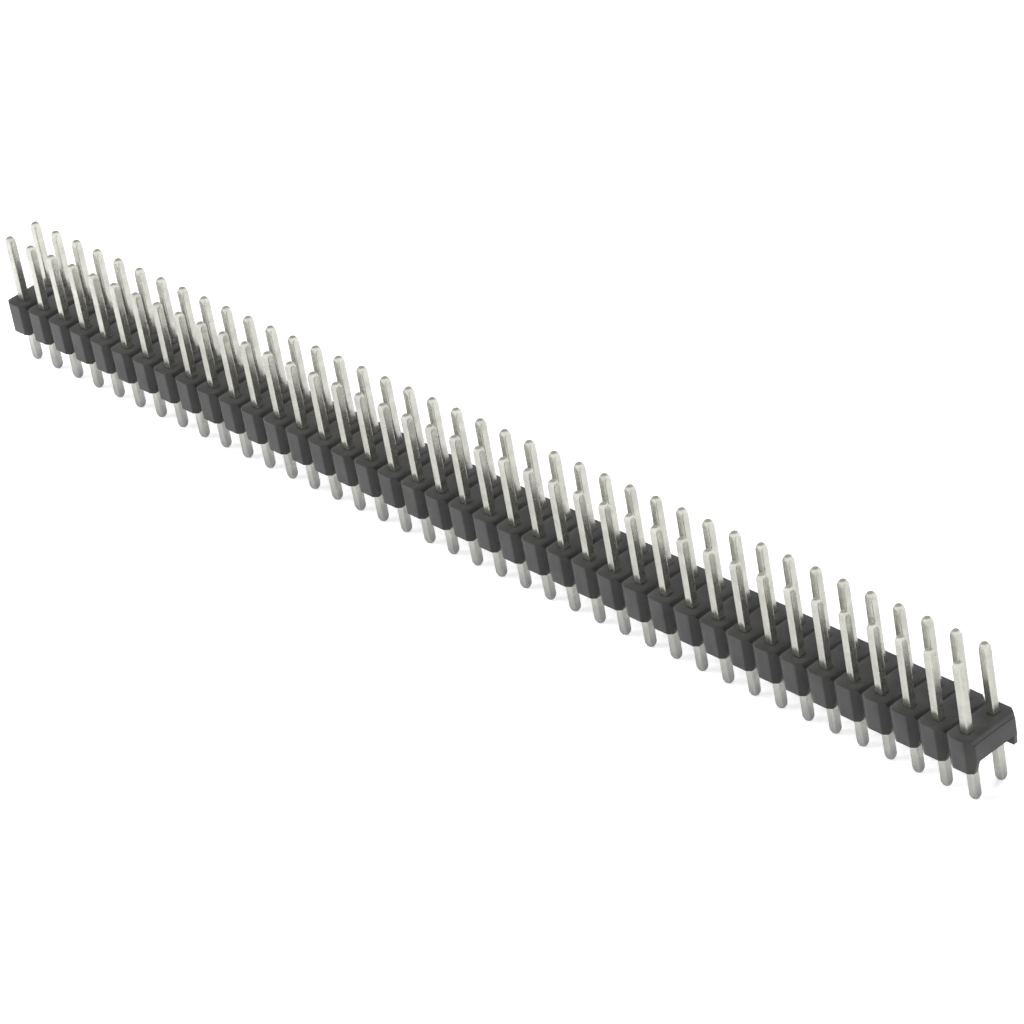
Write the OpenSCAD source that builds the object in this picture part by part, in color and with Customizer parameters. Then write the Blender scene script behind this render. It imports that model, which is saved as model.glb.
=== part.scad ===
// Breakaway double-row pin header: one moulded insulator in snap-off positions, with
// square plated pins pressed through it on a 2.54 mm grid.
// The strip runs along X and the rows lie along Y. Z = 0 is the seating plane, where the
// feet of the insulator meet the circuit board. The mating posts point up and the solder
// tails point down.

/* [Grid] */
// Number of positions along the strip, two pins in each
positions = 40; // [1:1:50]
// Distance between neighbouring positions
pitch = 2.54; // [2.4:0.02:3]
// Distance between the two rows
row_pitch = 2.54; // [2.4:0.02:4]

/* [Insulator] */
// Height from the seating plane to the top face
body_h = 2.6; // [1.8:0.02:4]
// Plastic between the outer face of a pin and the long side of the insulator
side_wall = 0.78; // [0.65:0.01:1.2]
// How far the corner of a unit is cut back along the strip
notch_x = 0.65; // [0.3:0.01:0.8]
// Depth of the snap-off notch in each long side
notch_y = 0.42; // [0.2:0.01:0.5]
// Width of the break groove across the top
groove_w = 0.5; // [0.3:0.02:0.6]
// Width of the flat floor of the break groove
groove_floor = 0.14; // [0.06:0.02:0.24]
// Depth of the break groove across the top
groove_d = 0.28; // [0.1:0.02:0.5]
// Size of the small bevel along the two long top edges
edge_bevel = 0.07; // [0.03:0.01:0.12]

/* [Feet] */
// Height of the feet, which is the depth of the channel under the insulator
foot_h = 0.95; // [0.3:0.05:1.1]
// Thickness of the feet at the seating plane
foot_w = 0.6; // [0.5:0.02:0.7]
// Draft of the inner side of a foot, added to its thickness at the channel roof
foot_draft = 0.1; // [0.02:0.02:0.12]
// Gap between the feet of neighbouring units at the seating plane
foot_gap = 0.5; // [0.2:0.02:0.6]

/* [Pins] */
// Side of the square wire
pin_w = 0.64; // [0.5:0.01:0.7]
// Radius of the long edges of the wire
pin_r = 0.08; // [0.03:0.01:0.1]
// Length of the mating post above the top face
post_l = 5.56; // [3:0.01:12]
// Length of the solder tail below the seating plane
tail_l = 2.82; // [1.5:0.01:6]
// Diameter of the round flat left at each end of a pin
nose_flat = 0.44; // [0.3:0.01:0.5]
// Length of the rounded nose on the mating end
post_nose = 0.42; // [0.3:0.01:1]
// Length of the rounded nose on the solder end
tail_nose = 0.42; // [0.3:0.01:1]
// Clearance between a pin and each wall of its hole
pin_fit = 0.01; // [0:0.005:0.03]

/* [Hidden] */
$fn = 32;
// Cutting tools run this far past the faces they cut
past = 0.5;

body_w = row_pitch + pin_w + 2 * side_wall;
body_l = positions * pitch;
half_w = body_w / 2;
channel_half = half_w - foot_w;
hole_w = pin_w + 2 * pin_fit;
pin_l = tail_l + body_h + post_l;
// Distance from the middle of the wire to its rounded edges
wire_r = sqrt(2) * (pin_w / 2 - pin_r) + pin_r;

// Two-digit name of the pin pair at position i, counted from 1
function pair_name(i) = str("pin_pair_", i < 10 ? "0" : "", i);
// Centre of position i along the strip
function unit_x(i) = (i - (positions + 1) / 2) * pitch;
// Break line number i, with lines 0 and positions at the two ends
function break_x(i) = (i - positions / 2) * pitch;
// Radius of a nose that leaves the wire's edges smoothly and ends at the flat
function nose_r(nose) = (pow(nose, 2) + pow(wire_r - nose_flat / 2, 2)) / (2 * wire_r - nose_flat);

// The V of one snap-off notch in a long side, at the origin and pointing along -Y
module notch_plan() {
    polygon([
        [-notch_x - past * notch_x / notch_y, past],
        [0, -notch_y],
        [notch_x + past * notch_x / notch_y, past]
    ]);
}

// Plan of the insulator: a bar with a pair of V notches at every break line and both ends
module plan() {
    difference() {
        square([body_l, body_w], center = true);
        for (i = [0:positions], side = [0, 1])
            translate([break_x(i), 0]) mirror([0, side]) translate([0, half_w]) notch_plan();
    }
}

// Section of the insulator across the strip: bevelled long edges over a channel between feet
module section() {
    polygon([
        [-half_w, 0],
        [-channel_half, 0],
        [-channel_half + foot_draft, foot_h],
        [channel_half - foot_draft, foot_h],
        [channel_half, 0],
        [half_w, 0],
        [half_w, body_h - edge_bevel],
        [half_w - edge_bevel, body_h],
        [-half_w + edge_bevel, body_h],
        [-half_w, body_h - edge_bevel]
    ]);
}

// Puts a drawing of the Y-Z plane on end and extrudes it along X, centred
module along_x(length) {
    rotate([90, 0, 90]) linear_extrude(length, center = true) children();
}

// Puts a drawing of the X-Z plane on edge and extrudes it along Y, centred
module along_y(length) {
    rotate([90, 0, 0]) linear_extrude(length, center = true) children();
}

// Side view of the groove that starts the break across the top
module groove_profile() {
    polygon([
        [-groove_w / 2, body_h],
        [-groove_floor / 2, body_h - groove_d],
        [groove_floor / 2, body_h - groove_d],
        [groove_w / 2, body_h],
        [groove_w / 2, body_h + past],
        [-groove_w / 2, body_h + past]
    ]);
}

// Side view of the V gap between the feet of neighbouring units
module foot_gap_profile() {
    polygon([
        [-foot_gap / 2, -past],
        [foot_gap / 2, -past],
        [foot_gap / 2, 0],
        [0, foot_h],
        [-foot_gap / 2, 0]
    ]);
}

module housing() {
    color([0.16, 0.16, 0.17]) difference() {
        intersection() {
            linear_extrude(body_h) plan();
            along_x(body_l + 2 * past) section();
        }
        for (i = [0:positions]) translate([break_x(i), 0, 0]) {
            along_y(body_w + 2 * past) groove_profile();
            along_y(body_w + 2 * past) foot_gap_profile();
        }
        for (i = [1:positions], row = [-1, 1])
            translate([unit_x(i), row * row_pitch / 2, -past])
                linear_extrude(body_h + 2 * past) square(hole_w, center = true);
    }
}

// Square wire with rounded long edges
module wire_section() {
    square([pin_w, pin_w - 2 * pin_r], center = true);
    square([pin_w - 2 * pin_r, pin_w], center = true);
    for (x = [-1, 1], y = [-1, 1])
        translate([x, y] * (pin_w / 2 - pin_r)) circle(pin_r);
}

// Right half of a nose from z = 0, where it leaves the wire, up to its round flat
module nose_half(nose) {
    intersection() {
        translate([wire_r - nose_r(nose), 0]) circle(nose_r(nose), $fn = 96);
        square([wire_r, nose]);
    }
}

// The round bar that a pin just fits in, with a nose at each end, tail end at z = 0
module nosed_bar() {
    rotate_extrude() {
        translate([0, tail_nose]) mirror([0, 1]) nose_half(tail_nose);
        translate([0, tail_nose]) square([wire_r, pin_l - tail_nose - post_nose]);
        translate([0, pin_l - post_nose]) nose_half(post_nose);
    }
}

module pin() {
    intersection() {
        linear_extrude(pin_l) wire_section();
        nosed_bar();
    }
}

// The two pins of one position
module pin_pair(i) {
    color([0.8, 0.79, 0.75])
        for (row = [-1, 1]) translate([unit_x(i), row * row_pitch / 2, -tail_l]) pin();
}

housing();
for (i = [1:positions])
    pin_pair(i);
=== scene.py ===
"""Looks of a breakaway double-row pin header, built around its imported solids.

The strip lies along X and its two rows lie along Y. Z = 0 is the seating plane: the mating posts
point up from the insulator and the solder tails point down. Every length is in metres.
"""
import logging
import math
from dataclasses import dataclass
from enum import Enum

import bmesh
import bpy
from mathutils import Matrix, Vector


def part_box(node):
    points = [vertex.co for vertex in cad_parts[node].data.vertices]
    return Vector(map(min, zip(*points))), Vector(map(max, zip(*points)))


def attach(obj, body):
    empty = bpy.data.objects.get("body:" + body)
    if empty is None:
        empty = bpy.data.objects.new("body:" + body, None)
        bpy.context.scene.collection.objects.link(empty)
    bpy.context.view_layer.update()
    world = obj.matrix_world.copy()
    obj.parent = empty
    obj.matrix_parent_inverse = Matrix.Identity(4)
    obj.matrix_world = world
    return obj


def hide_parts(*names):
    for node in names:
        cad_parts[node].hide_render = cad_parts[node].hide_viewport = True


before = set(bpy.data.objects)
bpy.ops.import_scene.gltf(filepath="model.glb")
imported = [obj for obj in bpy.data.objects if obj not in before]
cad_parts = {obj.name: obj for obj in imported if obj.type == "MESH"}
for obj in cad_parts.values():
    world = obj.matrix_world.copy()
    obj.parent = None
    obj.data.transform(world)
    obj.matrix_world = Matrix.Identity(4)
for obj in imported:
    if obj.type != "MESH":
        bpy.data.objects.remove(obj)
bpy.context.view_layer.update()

LOG = logging.getLogger("pin_header")
MM = 0.001
WELD = 0.0005 * MM
SHARP_ANGLE = math.radians(40)
BODY = "root"
WHITE = (1.0, 1.0, 1.0, 1.0)
ROWS = 2

Point = tuple[float, float]
Range = tuple[float, float]
Place = tuple[float, float, float]
Colour = tuple[float, float, float]
Ring = list[bmesh.types.BMVert]
Socket = bpy.types.NodeSocket


class Slot(Enum):
    """The record's material slots."""

    INSULATOR = "insulator"
    PLATING = "pin_plating"


# ---------------------------------------------------------------------------------------------
# Node trees
# ---------------------------------------------------------------------------------------------


class Tree:
    """Adds nodes to a node tree and links them, so that a tree reads as the steps it takes."""

    def __init__(self, tree: bpy.types.NodeTree) -> None:
        """Keeps the node tree that the nodes go into."""
        self.tree = tree

    @classmethod
    def emptied(cls, owner: bpy.types.Material | bpy.types.World) -> "Tree":
        """Switches a material or world to nodes and clears those that it starts with.

        Args:
            owner: The material or world.

        Returns:
            Its empty tree.
        """
        owner.use_nodes = True
        owner.node_tree.nodes.clear()
        return cls(owner.node_tree)

    @classmethod
    def group(cls, name: str, inputs: dict[str, str], output: str) -> "Tree":
        """Starts a Geometry Nodes group.

        Args:
            name: The group's name.
            inputs: The kind of each input socket, by the input's name.
            output: Name of the geometry that it gives.

        Returns:
            The group's tree, with no nodes in it.
        """
        made = bpy.data.node_groups.new(name, "GeometryNodeTree")
        for title, kind in inputs.items():
            made.interface.new_socket(name=title, in_out="INPUT", socket_type=kind)
        made.interface.new_socket(name=output, in_out="OUTPUT", socket_type="NodeSocketGeometry")
        return cls(made)

    def add(
        self, kind: str, *inputs: object, named: dict[str, object] | None = None, **settings: object
    ) -> bpy.types.Node:
        """Adds one node.

        Args:
            kind: The node's type, such as "ShaderNodeMath".
            *inputs: A value or an output socket for each input in turn.
            named: A value or an output socket for inputs given by name.
            **settings: Settings of the node itself.

        Returns:
            The new node.
        """
        node = self.tree.nodes.new(kind)
        for name, value in settings.items():
            setattr(node, name, value)
        for socket, value in zip(node.inputs, inputs):
            self.feed(socket, value)
        for name, value in (named or {}).items():
            self.feed(self.in_use(node.inputs, name), value)
        return node

    def in_use(self, sockets: bpy.types.bpy_prop_collection, name: str) -> Socket:
        """The socket of a name that the node's settings leave in use."""
        return next(socket for socket in sockets if socket.name == name and socket.enabled)

    def feed(self, socket: Socket, value: object) -> None:
        """Links an output to an input, or sets the input's own value.

        Args:
            socket: The input.
            value: An output socket or a plain value.
        """
        if isinstance(value, bpy.types.NodeSocket):
            self.tree.links.new(value, socket)
        else:
            socket.default_value = value

    def math(self, operation: str, *values: object, clamp: bool = False) -> Socket:
        """Adds a Math node and returns its result."""
        return self.add("ShaderNodeMath", *values, operation=operation, use_clamp=clamp).outputs[0]

    def weighed(self, *parts: tuple[Socket, float]) -> Socket:
        """Adds up values, each times its own weight.

        Args:
            *parts: Each value and its weight.

        Returns:
            The sum.
        """
        total, *rest = [self.math("MULTIPLY", value, weight) for value, weight in parts]
        for value in rest:
            total = self.math("ADD", total, value)
        return total

    def noise(self, where: Socket, feature: float, detail: float) -> Socket:
        """Adds noise around 0.5, with features of a size in metres and that many finer octaves."""
        named = {"Vector": where, "Scale": 1.0 / feature, "Detail": detail}
        return self.add("ShaderNodeTexNoise", named=named).outputs[0]

    def span(self, value: Socket, old: Range, new: Range) -> Socket:
        """Maps a value from one range to another, held at the new range's ends."""
        return self.add("ShaderNodeMapRange", value, *old, *new).outputs[0]

    def blend(self, share: Socket, first: Colour | Socket, second: Colour) -> Socket:
        """Mixes two colours.

        Args:
            share: How much of the second colour there is, from 0 to 1.
            first: The first colour, or an output socket that gives it.
            second: The second colour.

        Returns:
            The mixed colour.
        """
        start = first if isinstance(first, bpy.types.NodeSocket) else (*first, 1.0)
        mix = self.add("ShaderNodeMix", share, named={"A": start, "B": (*second, 1.0)}, data_type="RGBA")
        return self.in_use(mix.outputs, "Result")

    def bump(self, height: Socket, depth: float) -> Socket:
        """Adds a bump of a height from 0 to 1 and a depth in metres, and returns its normal."""
        named = {"Height": height, "Strength": 1.0, "Distance": depth}
        return self.add("ShaderNodeBump", named=named).outputs[0]

    def rays(self) -> tuple[Socket, Socket]:
        """Tells rays apart by what they carry.

        Returns:
            1 for what the camera sees directly, and 1 for what it sees mirrored or through glass.
        """
        path = self.add("ShaderNodeLightPath").outputs
        kinds = path["Is Glossy Ray"], path["Is Transmission Ray"]
        return path["Is Camera Ray"], self.math("ADD", *kinds, clamp=True)


# ---------------------------------------------------------------------------------------------
# Finishes
# ---------------------------------------------------------------------------------------------


@dataclass(frozen=True)
class Finish:
    """What every finish shares: a name and a Principled shader that its own nodes feed."""

    name: str

    def dress(self, tree: Tree, shader: bpy.types.Node, place: Socket) -> None:
        """Adds this finish's own nodes; each kind of finish has its own."""
        raise NotImplementedError

    def material(self) -> bpy.types.Material:
        """Makes the material.

        Returns:
            The material, which reads Object coordinates only.
        """
        made = bpy.data.materials.new(self.name)
        tree = Tree.emptied(made)
        shader = tree.add("ShaderNodeBsdfPrincipled")
        tree.add("ShaderNodeOutputMaterial", shader.outputs[0])
        self.dress(tree, shader, tree.add("ShaderNodeTexCoord").outputs["Object"])
        return made


@dataclass(frozen=True)
class MouldedPlastic(Finish):
    """Black glass-filled plastic, as it leaves the mould: a satin skin with a fine grain."""

    dark: Colour = (0.037, 0.0375, 0.038)
    light: Colour = (0.064, 0.064, 0.0615)
    roughness: Range = (0.28, 0.42)
    refractive_index: float = 1.52
    specular_level: float = 0.4
    flow_size: float = 2.2 * MM
    flow_detail: float = 3.0
    flow_levels: Range = (0.35, 0.65)
    flow_lightens: Range = (0.0, 0.7)
    grain_size: float = 0.09 * MM
    grain_detail: float = 4.0
    grain_depth: float = 0.0035 * MM
    fibre_size: float = 0.035 * MM
    fibre_detail: float = 1.0
    fibre_levels: Range = (0.6, 0.7)
    fibre_lightens: Range = (0.0, 0.3)
    fibre_in_bump: float = 0.35
    flow_in_sheen: float = 0.4
    grain_in_sheen: float = 0.6
    sheen_levels: Range = (0.35, 0.65)

    def dress(self, tree: Tree, shader: bpy.types.Node, place: Socket) -> None:
        """Adds flow marks to the colour and roughness, and glass fibre and grain to the skin.

        Args:
            tree: The material's tree.
            shader: Its Principled shader.
            place: Object coordinates.
        """
        flow = tree.noise(place, self.flow_size, self.flow_detail)
        grain = tree.noise(place, self.grain_size, self.grain_detail)
        fibre = tree.noise(place, self.fibre_size, self.fibre_detail)
        marks = tree.span(flow, self.flow_levels, self.flow_lightens)
        specks = tree.span(fibre, self.fibre_levels, self.fibre_lightens)
        tone = tree.math("ADD", marks, specks)
        tree.feed(shader.inputs["Base Color"], tree.blend(tone, self.dark, self.light))
        sheen = tree.weighed((flow, self.flow_in_sheen), (grain, self.grain_in_sheen))
        rough = tree.span(sheen, self.sheen_levels, self.roughness)
        tree.feed(shader.inputs["Roughness"], rough)
        skin = tree.math("ADD", grain, tree.math("MULTIPLY", fibre, self.fibre_in_bump))
        tree.feed(shader.inputs["Normal"], tree.bump(skin, self.grain_depth))
        shader.inputs["IOR"].default_value = self.refractive_index
        shader.inputs["Specular IOR Level"].default_value = self.specular_level


@dataclass(frozen=True)
class TinPlate(Finish):
    """Tin plate on drawn square wire: bright on the posts, darker and rougher down the solder tails.

    The darkening down the tails is painted shade, standing for the shadowed floor that they
    mirror; the added roughness makes them matt. It has dull patches, and fine lines along the wire.
    """

    bright: Colour = (0.78, 0.775, 0.71)
    dull: Colour = (0.65, 0.645, 0.59)
    # Painted shade: the grey that the tails darken to towards their ends, for the shadowed floor that
    # they mirror.
    painted_tail_shade: Colour = (0.34, 0.345, 0.352)
    roughness: Range = (0.2, 0.32)
    matt_roughness: float = 0.12
    # Heights over which the painted shade on the tails, and their added roughness, build up.
    tail_shade_heights: Range = (-0.4 * MM, -2.8 * MM)
    patch_size: float = 1.1 * MM
    patch_detail: float = 3.0
    line_width: float = 0.045 * MM
    line_detail: float = 2.0
    line_stretch: float = 0.03
    line_depth: float = 0.0005 * MM
    patches_in_dullness: float = 0.7
    lines_in_dullness: float = 0.3
    dull_levels: Range = (0.38, 0.62)
    rough_levels: Range = (0.35, 0.65)
    streak_levels: Range = (0.4, 0.6)
    streak_strength: Range = (0.8, 1.1)

    def dress(self, tree: Tree, shader: bpy.types.Node, place: Socket) -> None:
        """Adds the dull patches, the painted shade and matt roughness down the tails, and the drawing
        lines.

        Args:
            tree: The material's tree.
            shader: Its Principled shader.
            place: Object coordinates.
        """
        patches = tree.noise(place, self.patch_size, self.patch_detail)
        stretch = {"Scale": (1.0, 1.0, self.line_stretch)}
        along = tree.add("ShaderNodeMapping", place, named=stretch).outputs[0]
        lines = tree.noise(along, self.line_width, self.line_detail)
        dullness = tree.weighed((patches, self.patches_in_dullness), (lines, self.lines_in_dullness))
        share = tree.span(dullness, self.dull_levels, (0.0, 1.0))
        # Painted shade: a share that grows towards the tail ends, broken by the drawing lines, for the
        # shadowed floor that they mirror; the same share adds roughness.
        height = tree.add("ShaderNodeSeparateXYZ", place).outputs["Z"]
        depth = tree.span(height, self.tail_shade_heights, (0.0, 1.0))
        streaks = tree.span(lines, self.streak_levels, self.streak_strength)
        tail_shade_and_matt = tree.math("MULTIPLY", depth, streaks)
        plate = tree.blend(share, self.bright, self.dull)
        # The painted shade darkens the plate here.
        tree.feed(shader.inputs["Base Color"], tree.blend(tail_shade_and_matt, plate, self.painted_tail_shade))
        plate_rough = tree.span(dullness, self.rough_levels, self.roughness)
        added_rough = tree.math("MULTIPLY", tail_shade_and_matt, self.matt_roughness)
        tree.feed(shader.inputs["Roughness"], tree.math("ADD", plate_rough, added_rough))
        tree.feed(shader.inputs["Normal"], tree.bump(lines, self.line_depth))
        shader.inputs["Metallic"].default_value = 1.0


@dataclass(frozen=True)
class ShearedMetal(Finish):
    """The flat end of a pin, where the wire was cut through its plate to the darker core."""

    core: Colour = (0.74, 0.735, 0.67)
    stain: Colour = (0.55, 0.545, 0.49)
    stain_levels: Range = (0.4, 0.6)
    roughness: Range = (0.45, 0.65)
    rough_levels: Range = (0.35, 0.65)
    tear_size: float = 0.07 * MM
    tear_detail: float = 4.0
    tear_depth: float = 0.006 * MM

    def dress(self, tree: Tree, shader: bpy.types.Node, place: Socket) -> None:
        """Adds the torn grain of the cut.

        Args:
            tree: The material's tree.
            shader: Its Principled shader.
            place: Object coordinates.
        """
        tears = tree.noise(place, self.tear_size, self.tear_detail)
        share = tree.span(tears, self.stain_levels, (0.0, 1.0))
        tree.feed(shader.inputs["Base Color"], tree.blend(share, self.core, self.stain))
        rough = tree.span(tears, self.rough_levels, self.roughness)
        tree.feed(shader.inputs["Roughness"], rough)
        tree.feed(shader.inputs["Normal"], tree.bump(tears, self.tear_depth))
        shader.inputs["Metallic"].default_value = 1.0


# ---------------------------------------------------------------------------------------------
# Meshes
# ---------------------------------------------------------------------------------------------


def rounded_path(corners: list[tuple[Point, float | None]], steps: int) -> list[Point]:
    """Follows a path with rounded corners.

    Args:
        corners: Each corner and how far from it its rounding starts. None keeps the corner as one
            point, and 0 puts all the points of a rounding on it.
        steps: How many pieces a rounding has.

    Returns:
        The path's points.
    """
    path: list[Point] = []
    for index, (corner, reach) in enumerate(corners):
        if reach is None:
            path.append(corner)
            continue
        here = Vector(corner)
        before = (Vector(corners[index - 1][0]) - here).normalized() * reach
        after = (Vector(corners[index + 1][0]) - here).normalized() * reach
        for step in range(steps + 1):
            share = step / steps
            path.append(tuple(here + before * (1 - share) ** 2 + after * share**2))
    return path


def eased(distance: float, reach: float) -> float:
    """How far past a bend a point is, with a smooth turn in place of the bend.

    Args:
        distance: Distance past the bend, negative before it.
        reach: How far before and after the bend the turn goes.

    Returns:
        0 before the turn, the distance itself after it, and a smooth rise between.
    """
    if distance <= -reach:
        return 0.0
    if distance >= reach:
        return distance
    return (distance + reach) ** 2 / (4 * reach)


def wall(shell: bmesh.types.BMesh, rings: list[Ring]) -> None:
    """Joins each ring of points to the next with a band of faces.

    Args:
        shell: The mesh that the rings are in.
        rings: The rings in order, each with as many points.
    """
    for ring, following in zip(rings, rings[1:]):
        for at in range(len(ring)):
            after = (at + 1) % len(ring)
            shell.faces.new((ring[at], ring[after], following[after], following[at]))


def object_of(name: str, mesh: bpy.types.Mesh) -> bpy.types.Object:
    """Puts a mesh into the scene, at the origin.

    Args:
        name: The object's name.
        mesh: Its mesh, with its place in its points.

    Returns:
        The new object.
    """
    mesh.name = name
    made = bpy.data.objects.new(name, mesh)
    bpy.context.scene.collection.objects.link(made)
    return made


def apply_modifiers(piece: bpy.types.Object) -> None:
    """Turns what a piece's modifiers make into its plain mesh, and removes them.

    Args:
        piece: The piece.
    """
    evaluated = piece.evaluated_get(bpy.context.evaluated_depsgraph_get())
    mesh = bpy.data.meshes.new_from_object(evaluated)
    piece.modifiers.clear()
    piece.data = mesh
    mesh.name = piece.name


def run_tree(piece: bpy.types.Object, tree: Tree, values: dict[str, object]) -> None:
    """Runs a Geometry Nodes group on a piece and keeps what it makes as the piece's plain mesh.

    Args:
        piece: The piece, whose mesh is the group's first input.
        tree: The group's tree.
        values: A value for each of the group's other inputs, by the input's name.
    """
    modifier = piece.modifiers.new(tree.tree.name, "NODES")
    modifier.node_group = tree.tree
    for item in tree.tree.interface.items_tree:
        if item.in_out == "INPUT" and item.name in values:
            modifier[item.identifier] = values[item.name]
    apply_modifiers(piece)


def smooth_shading(piece: bpy.types.Object) -> None:
    """Shades a piece smoothly up to its sharp edges, with each flat face true to its own plane.

    Args:
        piece: The piece.
    """
    piece.data.shade_smooth()
    piece.data.set_sharp_from_angle(angle=SHARP_ANGLE)
    piece.modifiers.new("flat_faces_stay_flat", "WEIGHTED_NORMAL").keep_sharp = True
    apply_modifiers(piece)


def piece_of_body(piece: bpy.types.Object, node: str) -> bpy.types.Object:
    """Hands a finished piece to the frame.

    Args:
        piece: The piece.
        node: The CAD node that it stands for.

    Returns:
        The same piece.
    """
    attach(piece, BODY)
    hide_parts(node)
    return piece


@dataclass(frozen=True)
class StripSizes:
    """The strip's main sizes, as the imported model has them."""

    pairs: tuple[str, ...]
    pitch: float
    row_pitch: float
    length: float
    half_width: float
    height: float
    pin_width: float
    post_top: float
    tail_end: float

    @classmethod
    def from_frame(cls) -> "StripSizes":
        """Reads the sizes from the CAD nodes' boxes.

        Returns:
            The sizes.
        """
        pairs = tuple(sorted(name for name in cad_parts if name.startswith("pin_pair_")))
        body_low, body_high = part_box("housing")
        pin_low, pin_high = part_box(pairs[0])
        pin_width = pin_high.x - pin_low.x
        length = body_high.x - body_low.x
        return cls(
            pairs=pairs,
            pitch=length / len(pairs),
            row_pitch=pin_high.y - pin_low.y - pin_width,
            length=length,
            half_width=body_high.y,
            height=body_high.z,
            pin_width=pin_width,
            post_top=pin_high.z,
            tail_end=pin_low.z,
        )

    def unit_x(self, index: int) -> float:
        """Where the middle of a unit lies along the strip, with units counted from 0."""
        return (index + 0.5) * self.pitch - self.length / 2


# ---------------------------------------------------------------------------------------------
# Sub-assemblies
# ---------------------------------------------------------------------------------------------


@dataclass
class Insulator:
    """The moulding: a chain of eight-sided units with feet, grooved and notched where it snaps."""

    sizes: StripSizes
    finish: Finish
    notch_x: float = 0.65 * MM
    notch_y: float = 0.42 * MM
    groove_width: float = 0.5 * MM
    groove_floor: float = 0.14 * MM
    groove_depth: float = 0.28 * MM
    foot_height: float = 0.95 * MM
    foot_width: float = 0.6 * MM
    foot_draft: float = 0.1 * MM
    foot_gap: float = 0.5 * MM
    pin_clearance: float = 0.01 * MM
    hole_lead: float = 0.02 * MM
    top_round: float = 0.08 * MM
    foot_round: float = 0.06 * MM
    corner_round: float = 0.05 * MM
    groove_round: float = 0.05 * MM
    round_steps: int = 3
    turn_shares: tuple[float, ...] = (-1.0, -0.33, 0.33, 1.0)

    @property
    def hole_half(self) -> float:
        """Half the width of a pin's hole."""
        return self.sizes.pin_width / 2 + self.pin_clearance

    @property
    def rim_half(self) -> float:
        """Half the width of a hole's mouth, with its lead-in."""
        return self.hole_half + self.hole_lead

    def half_width(self, x: float) -> float:
        """Half the moulding's width at a distance from the middle of its unit."""
        past_corner = abs(x) - (self.sizes.pitch / 2 - self.notch_x)
        return self.sizes.half_width - self.notch_y / self.notch_x * eased(past_corner, self.corner_round)

    def top(self, x: float) -> float:
        """Follows the top down into the break groove.

        Args:
            x: Distance from the middle of the unit.

        Returns:
            The top's height there.
        """
        slope = self.groove_depth / (self.groove_width / 2 - self.groove_floor / 2)
        past_edge = abs(x) - (self.sizes.pitch / 2 - self.groove_width / 2)
        past_floor = abs(x) - (self.sizes.pitch / 2 - self.groove_floor / 2)
        fall = eased(past_edge, self.groove_round) - eased(past_floor, self.groove_round)
        return self.sizes.height - slope * fall

    def foot(self, x: float) -> float:
        """Height of a foot's underside at a distance from the unit's middle, up into the gap."""
        past_edge = abs(x) - (self.sizes.pitch / 2 - self.foot_gap / 2)
        return self.foot_height / (self.foot_gap / 2) * eased(past_edge, self.groove_round)

    def channel_half(self, z: float) -> float:
        """Half the channel's width at a height, between the drafted inner sides of the feet."""
        return self.sizes.half_width - self.foot_width - self.foot_draft * z / self.foot_height

    def stations(self) -> list[float]:
        """Distances from the middle of a unit at which it has a section.

        Returns:
            The distances, from one break line to the next.
        """
        half = self.sizes.pitch / 2
        bends = (
            (half - self.notch_x, self.corner_round),
            (half - self.groove_width / 2, self.groove_round),
            (half - self.groove_floor / 2, self.groove_round),
        )
        turns = [bend + reach * share for bend, reach in bends for share in self.turn_shares]
        right = sorted([self.rim_half, *(x for x in turns if x < half), half])
        return [-x for x in reversed(right)] + right

    def section(self, x: float) -> list[Point]:
        """Closed outline of the moulding across the strip.

        Args:
            x: Distance from the middle of the unit.

        Returns:
            Points (y, z), from the middle of the top over the +Y side and round; every section has
            as many.
        """
        middle = self.sizes.row_pitch / 2
        half_width, top, foot = self.half_width(x), self.top(x), self.foot(x)
        inner, roof = self.channel_half(foot), self.foot_height
        foot_round = min(self.foot_round, (roof - foot) / 2, (half_width - inner) / 2)
        corners = [
            ((0.0, top), None),
            ((middle - self.rim_half, top), None),
            ((middle + self.rim_half, top), None),
            ((half_width, top), self.top_round),
            ((half_width, foot), foot_round),
            ((inner, foot), foot_round),
            ((self.channel_half(roof), roof), None),
            ((middle + self.rim_half, roof), None),
            ((middle - self.rim_half, roof), None),
            ((0.0, roof), None),
        ]
        right = rounded_path(corners, self.round_steps)
        return right + [(-y, z) for y, z in reversed(right[1:-1])]

    def unit(self) -> bpy.types.Mesh:
        """Makes one unit as a shell that is open at its two break lines.

        Returns:
            The mesh, around the middle of the unit.
        """
        shell = bmesh.new()
        stations = self.stations()
        rings = [[shell.verts.new((x, y, z)) for y, z in self.section(x)] for x in stations]
        count = len(rings[0])
        half = count // 2
        # Where each hole's mouths start on a section, in the top and in the channel roof.
        mouths = ((1, half - 2), (count - 2, half + 1))
        open_at = {at for pair in mouths for at in pair}
        middle = stations.index(self.rim_half) - 1
        for index, (ring, following) in enumerate(zip(rings, rings[1:])):
            for at in range(count):
                if index == middle and at in open_at:
                    continue
                after = (at + 1) % count
                shell.faces.new((ring[at], following[at], following[after], ring[after]))
        for top_at, roof_at in mouths:
            self.hole(shell, rings[middle : middle + 2], top_at, roof_at)
        mesh = bpy.data.meshes.new("insulator_unit")
        bmesh.ops.recalc_face_normals(shell, faces=shell.faces)
        shell.to_mesh(mesh)
        shell.free()
        return mesh

    def mouth(self, rings: list[Ring], at: int) -> tuple[Ring, Vector]:
        """Finds one mouth of a pin's hole.

        Args:
            rings: The two sections on either side of the hole.
            at: The section's point at which the mouth starts.

        Returns:
            The mouth's corners in order round it, and its middle.
        """
        after = (at + 1) % len(rings[0])
        corners = [ring[point] for ring in rings for point in (at, after)]
        middle = sum((corner.co for corner in corners), Vector()) / len(corners)
        return sorted(corners, key=lambda corner: math.atan2(*(corner.co - middle).yx)), middle

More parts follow.
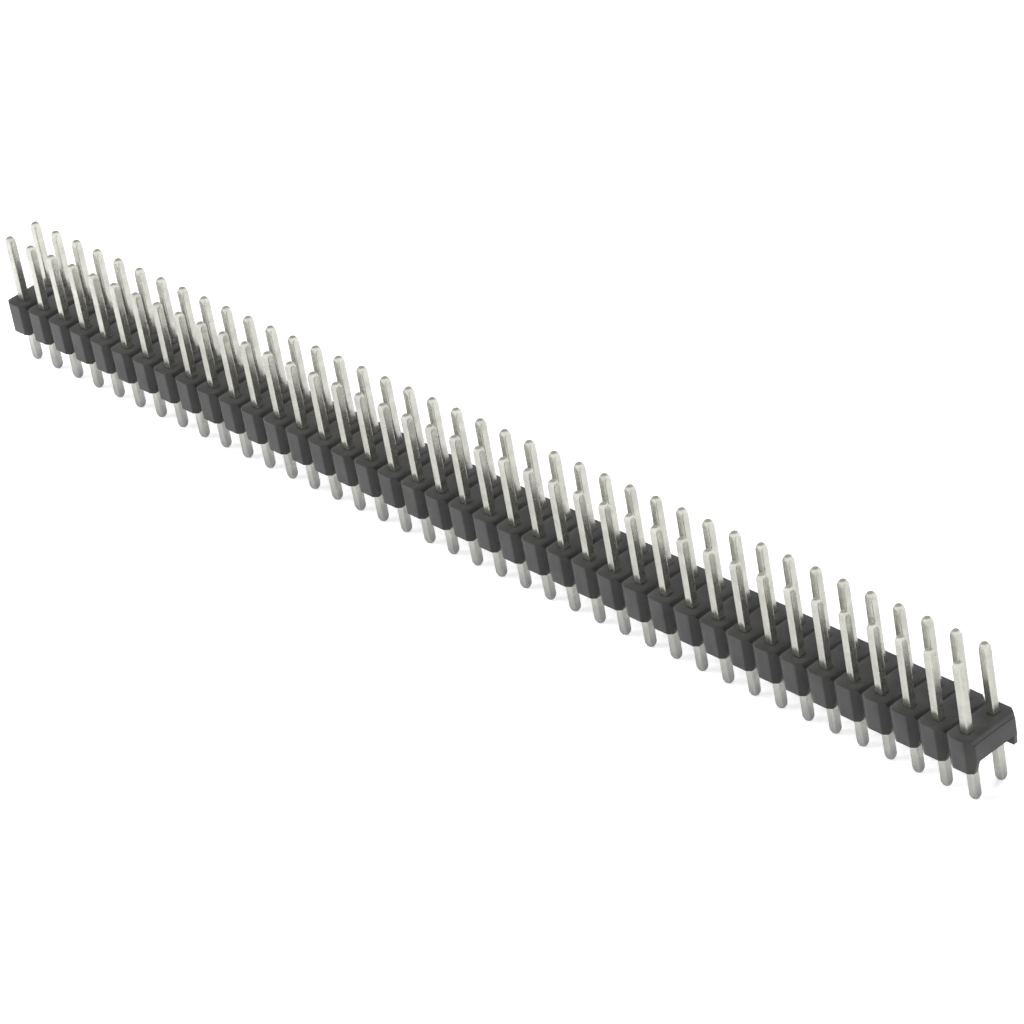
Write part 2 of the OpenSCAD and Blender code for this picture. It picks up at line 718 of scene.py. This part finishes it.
    def throat(self, shell: bmesh.types.BMesh, rim: Ring, middle: Vector, z: float) -> Ring:
        """Repeats the rim of a hole at the end of its lead-in, drawn in to the hole's own width.

        Args:
            shell: The unit.
            rim: The corners of one mouth.
            middle: The middle of the hole.
            z: Height of the new points.

        Returns:
            The new points, in the rim's order.
        """
        scale = self.hole_half / self.rim_half
        places = [(corner.co - middle) * scale + middle for corner in rim]
        return [shell.verts.new((place.x, place.y, z)) for place in places]

    def hole(self, shell: bmesh.types.BMesh, rings: list[Ring], top_at: int, roof_at: int) -> None:
        """Walls one pin's hole, from its mouth in the top to its mouth in the channel roof.

        Args:
            shell: The unit.
            rings: The two sections on either side of the hole.
            top_at: The section's point at which the top mouth starts.
            roof_at: The section's point at which the roof mouth starts.
        """
        top_rim, middle = self.mouth(rings, top_at)
        roof_rim, _ = self.mouth(rings, roof_at)
        upper = self.throat(shell, top_rim, middle, self.sizes.height - self.hole_lead)
        lower = self.throat(shell, roof_rim, middle, self.foot_height + self.hole_lead)
        wall(shell, [top_rim, upper, lower, roof_rim])

    def repeat_tree(self) -> Tree:
        """Geometry Nodes that repeat a unit along X and weld each to the next.

        Returns:
            The group's tree, with its sizes as named inputs.
        """
        inputs = {
            "Unit": "NodeSocketGeometry",
            "Units": "NodeSocketInt",
            "First": "NodeSocketVector",
            "Step": "NodeSocketVector",
            "Weld": "NodeSocketFloat",
            "Finish": "NodeSocketMaterial",
        }
        tree = Tree.group("strip_of_units", inputs, "Strip")
        given = tree.add("NodeGroupInput").outputs
        places = {"Count": given["Units"], "Start Location": given["First"], "Offset": given["Step"]}
        line = tree.add("GeometryNodeMeshLine", named=places, mode="OFFSET")
        set_out = {"Points": line.outputs[0], "Instance": given["Unit"]}
        copies = tree.add("GeometryNodeInstanceOnPoints", named=set_out)
        real = tree.add("GeometryNodeRealizeInstances", copies.outputs[0])
        joined = {"Geometry": real.outputs[0], "Distance": given["Weld"]}
        welded = tree.add("GeometryNodeMergeByDistance", named=joined)
        skin = {"Geometry": welded.outputs[0], "Material": given["Finish"]}
        dressed = tree.add("GeometryNodeSetMaterial", named=skin)
        tree.add("NodeGroupOutput", dressed.outputs[0])
        return tree

    def close_ends(self, piece: bpy.types.Object) -> None:
        """Closes the shell where the strip ends at its first and last break lines.

        Args:
            piece: The welded strip of units.
        """
        shell = bmesh.new()
        shell.from_mesh(piece.data)
        bmesh.ops.dissolve_degenerate(shell, dist=WELD, edges=shell.edges)
        open_edges = [edge for edge in shell.edges if edge.is_boundary]
        bmesh.ops.holes_fill(shell, edges=open_edges)
        bmesh.ops.recalc_face_normals(shell, faces=shell.faces)
        shell.to_mesh(piece.data)
        shell.free()

    def build(self) -> bpy.types.Object:
        """Makes the whole moulding.

        Returns:
            The finished piece.
        """
        piece = object_of("insulator", self.unit())
        values = {
            "Units": len(self.sizes.pairs),
            "First": (self.sizes.unit_x(0), 0.0, 0.0),
            "Step": (self.sizes.pitch, 0.0, 0.0),
            "Weld": WELD,
            "Finish": self.finish.material(),
        }
        run_tree(piece, self.repeat_tree(), values)
        self.close_ends(piece)
        smooth_shading(piece)
        return piece_of_body(piece, "housing")


@dataclass
class Pins:
    """The square pins: plated wire, nosed at both ends, two to a position."""

    sizes: StripSizes
    plating: Finish
    cut_end: Finish
    edge_radius: float = 0.08 * MM
    nose_flat: float = 0.44 * MM
    nose_length: float = 0.42 * MM
    twist: float = math.radians(1.2)
    nose_rings: int = 7
    corner_steps: int = 4
    side_steps: int = 4
    end_facing: float = 0.99
    seed: int = 7

    @property
    def edge_reach(self) -> float:
        """Distance from the middle of the wire to its rounded edges."""
        return math.sqrt(2) * (self.sizes.pin_width / 2 - self.edge_radius) + self.edge_radius

    def wire_outline(self) -> list[Point]:
        """Outline of the square wire with its rounded edges.

        Returns:
            Points (x, y), counter-clockwise.
        """
        half, radius = self.sizes.pin_width / 2, self.edge_radius
        flat = half - radius
        quarter: list[Point] = []
        for step in range(self.side_steps):
            quarter.append((half, flat * (2 * step / self.side_steps - 1)))
        for step in range(self.corner_steps):
            turn = math.pi / 2 * step / self.corner_steps
            quarter.append((flat + radius * math.cos(turn), flat + radius * math.sin(turn)))
        outline: list[Point] = []
        for _ in range(4):
            outline += quarter
            quarter = [(-y, x) for x, y in quarter]
        return outline

    def nose_reach(self, height: float) -> float:
        """Follows the round of a nose.

        Args:
            height: Height above where the nose leaves the wire.

        Returns:
            How far from the middle the nose reaches there.
        """
        fall = self.edge_reach - self.nose_flat / 2
        radius = (self.nose_length**2 + fall**2) / (2 * fall)
        return self.edge_reach - radius + math.sqrt(radius**2 - height**2)

    def levels(self) -> list[Point]:
        """Heights at which a pin has a ring of points.

        Returns:
            Each height and how far from the middle the pin may reach there, from the tail end up.
        """
        nose = []
        for ring in range(self.nose_rings + 1):
            height = self.nose_length * math.sin(math.pi / 2 * ring / self.nose_rings)
            nose.append((height, self.nose_reach(height)))
        tail_end, post_top, length = self.sizes.tail_end, self.sizes.post_top, self.nose_length
        tail = [(tail_end + length - height, reach) for height, reach in reversed(nose)]
        post = [(post_top - length + height, reach) for height, reach in nose]
        return tail + post

    def pin(self) -> bpy.types.Mesh:
        """Makes one pin on the Z axis.

        Returns:
            The closed mesh.
        """
        shell = bmesh.new()
        rings = []
        for z, reach in self.levels():
            ring = []
            for x, y in self.wire_outline():
                scale = min(1.0, reach / math.hypot(x, y))
                ring.append(shell.verts.new((x * scale, y * scale, z)))
            rings.append(ring)
        wall(shell, rings)
        shell.faces.new(reversed(rings[0]))
        shell.faces.new(rings[-1])
        mesh = bpy.data.meshes.new("pin")
        shell.to_mesh(mesh)
        shell.free()
        return mesh

    def pair_tree(self) -> Tree:
        """Geometry Nodes that set a pin in each row, a hair's turn off square, and dress it.

        Returns:
            The group's tree, with its sizes as named inputs.
        """
        inputs = {
            "Pin": "NodeSocketGeometry",
            "Front": "NodeSocketVector",
            "Step": "NodeSocketVector",
            "Twist": "NodeSocketFloat",
            "Seed": "NodeSocketInt",
            "Plating": "NodeSocketMaterial",
            "Cut End": "NodeSocketMaterial",
        }
        tree = Tree.group("pair_of_pins", inputs, "Pair")
        given = tree.add("NodeGroupInput").outputs
        places = {"Count": ROWS, "Start Location": given["Front"], "Offset": given["Step"]}
        line = tree.add("GeometryNodeMeshLine", named=places, mode="OFFSET")
        untwist = tree.math("MULTIPLY", given["Twist"], -1.0)
        limits = {"Min": untwist, "Max": given["Twist"], "Seed": given["Seed"]}
        random = tree.add("FunctionNodeRandomValue", named=limits, data_type="FLOAT")
        turn = tree.add("ShaderNodeCombineXYZ", named={"Z": tree.in_use(random.outputs, "Value")})
        set_out = {"Points": line.outputs[0], "Instance": given["Pin"], "Rotation": turn.outputs[0]}
        copies = tree.add("GeometryNodeInstanceOnPoints", named=set_out)
        real = tree.add("GeometryNodeRealizeInstances", copies.outputs[0])
        plate = {"Geometry": real.outputs[0], "Material": given["Plating"]}
        plated = tree.add("GeometryNodeSetMaterial", named=plate)
        facing = tree.add("ShaderNodeSeparateXYZ", tree.add("GeometryNodeInputNormal").outputs[0])
        upright = tree.math("ABSOLUTE", facing.outputs["Z"])
        is_end = tree.math("GREATER_THAN", upright, self.end_facing)
        cut = {"Geometry": plated.outputs[0], "Selection": is_end, "Material": given["Cut End"]}
        ended = tree.add("GeometryNodeSetMaterial", named=cut)
        tree.add("NodeGroupOutput", ended.outputs[0])
        return tree

    def build(self) -> list[bpy.types.Object]:
        """Makes every pair of pins, each a piece of its own.

        Returns:
            The finished pieces, along the strip.
        """
        pin, tree = self.pin(), self.pair_tree()
        plating, cut_end = self.plating.material(), self.cut_end.material()
        pieces = []
        for index, node in enumerate(self.sizes.pairs):
            piece = object_of(f"pins_{index + 1:02d}", pin.copy())
            values = {
                "Front": (self.sizes.unit_x(index), -self.sizes.row_pitch / 2, 0.0),
                "Step": (0.0, self.sizes.row_pitch, 0.0),
                "Twist": self.twist,
                "Seed": self.seed + index,
                "Plating": plating,
                "Cut End": cut_end,
            }
            run_tree(piece, tree, values)
            smooth_shading(piece)
            pieces.append(piece_of_body(piece, node))
        return pieces


# ---------------------------------------------------------------------------------------------
# Studio
# ---------------------------------------------------------------------------------------------


@dataclass(frozen=True)
class Lamp:
    """A soft panel that faces the middle of the strip, and that metal doesn't mirror."""

    name: str
    place: Place
    width: float
    height: float
    watts: float

    def hang(self) -> None:
        """Puts the lamp into the scene."""
        data = bpy.data.lights.new(self.name, "AREA")
        data.shape = "RECTANGLE"
        data.size = self.width
        data.size_y = self.height
        data.energy = self.watts
        lamp = bpy.data.objects.new(self.name, data)
        lamp.visible_glossy = False
        bpy.context.scene.collection.objects.link(lamp)
        place = Vector(self.place)
        turn = (-place).to_track_quat("-Z", "Y").to_matrix().to_4x4()
        lamp.matrix_world = Matrix.Translation(place) @ turn


@dataclass
class Studio:
    """A white floor, soft lamps all round, and the camera."""

    sizes: StripSizes
    floor_half: float = 4.0
    floor_gap: float = 0.01 * MM
    floor_colour: Colour = (0.75, 0.75, 0.75)
    glow_seen: float = 0.55
    glow_mirrored: float = 0.2
    dim_side: Place = (-0.663, 0.513, 0.545)
    dim_edge: Range = (0.3, 0.85)
    dim_level: float = 0.46
    lamps: tuple[Lamp, ...] = (
        Lamp("key_lamp", (-1.0, -0.4, 0.24), 1.2, 0.45, 40.0),
        Lamp("fill_lamp", (1.0, 0.3, 0.22), 0.9, 0.4, 10.5),
        Lamp("back_lamp", (-0.2, 0.9, 0.35), 1.2, 0.6, 15.0),
        Lamp("top_lamp", (-0.3, 0.3, 0.9), 0.9, 0.9, 1.5),
    )
    azimuth: float = math.radians(52.264)
    elevation: float = math.radians(33.024)
    roll: float = math.radians(10.601)
    distance: float = 375.35 * MM
    aim: Place = (2.74 * MM, 1.45 * MM, 0.68 * MM)
    lens: float = 184.72
    sensor: float = 36.0
    clip_start: float = 3.7535 * MM
    clip_end: float = 16.0

    def lay_floor(self) -> None:
        """Lays the floor under the tails: it shades as white paint and glows a little to the eye."""
        half, z = self.floor_half, self.sizes.tail_end - self.floor_gap
        corners = [(-half, -half, z), (half, -half, z), (half, half, z), (-half, half, z)]
        mesh = bpy.data.meshes.new("floor")
        mesh.from_pydata(corners, [], [(0, 1, 2, 3)])
        paint = bpy.data.materials.new("floor")
        tree = Tree.emptied(paint)
        seen, mirrored = tree.rays()
        glow = tree.weighed((seen, self.glow_seen), (mirrored, self.glow_mirrored))
        diffuse = tree.add("ShaderNodeBsdfDiffuse", (*self.floor_colour, 1.0))
        light = tree.add("ShaderNodeEmission", WHITE, glow)
        both = tree.add("ShaderNodeAddShader", diffuse.outputs[0], light.outputs[0])
        tree.add("ShaderNodeOutputMaterial", both.outputs[0])
        mesh.materials.append(paint)
        object_of("floor", mesh)

    def surround(self) -> None:
        """Sets the world: white to the camera, and to metal a white tent with one dim side."""
        world = bpy.data.worlds.new("studio")
        bpy.context.scene.world = world
        tree = Tree.emptied(world)
        direction = tree.add("ShaderNodeTexCoord").outputs["Generated"]
        to_dim = tree.add("ShaderNodeVectorMath", direction, self.dim_side, operation="DOT_PRODUCT")
        tent = tree.span(to_dim.outputs["Value"], self.dim_edge, (1.0, self.dim_level))
        seen, mirrored = tree.rays()
        strength = tree.math("MAXIMUM", tree.math("MULTIPLY", mirrored, tent), seen)
        shown = tree.add("ShaderNodeBackground", WHITE, strength)
        tree.add("ShaderNodeOutputWorld", shown.outputs[0])

    def set_camera(self) -> None:
        """Sets the camera over the front right, tipped so that the strip falls to the right."""
        across, up = math.cos(self.elevation), math.sin(self.elevation)
        back = Vector((math.sin(self.azimuth) * across, -math.cos(self.azimuth) * across, up))
        turn = back.to_track_quat("Z", "Y").to_matrix().to_4x4()
        data = bpy.data.cameras.new("camera")
        data.lens = self.lens
        data.sensor_width = self.sensor
        data.clip_start = self.clip_start
        data.clip_end = self.clip_end
        camera = bpy.data.objects.new("camera", data)
        bpy.context.scene.collection.objects.link(camera)
        place = Matrix.Translation(Vector(self.aim) + back * self.distance)
        camera.matrix_world = place @ turn @ Matrix.Rotation(-self.roll, 4, "Z")
        bpy.context.scene.camera = camera

    def build(self) -> None:
        """Sets up the floor, the surroundings, the lamps and the camera."""
        self.lay_floor()
        self.surround()
        for lamp in self.lamps:
            lamp.hang()
        self.set_camera()
        bpy.context.scene.view_settings.view_transform = "Standard"


def main() -> None:
    """Builds the header's pieces in order, then the studio around them, and reports each."""
    logging.basicConfig(level=logging.INFO, format="%(name)s: %(message)s")
    sizes = StripSizes.from_frame()
    insulator = Insulator(sizes, MouldedPlastic("moulded_plastic")).build()
    pins = Pins(sizes, TinPlate("tin_plate"), ShearedMetal("sheared_metal")).build()
    for piece in (insulator, *pins):
        LOG.info("%s: %d faces", piece.name, len(piece.data.polygons))
    Studio(sizes).build()
    LOG.info("studio: floor, world, lamps and camera")


if __name__ == "__main__":
    main()
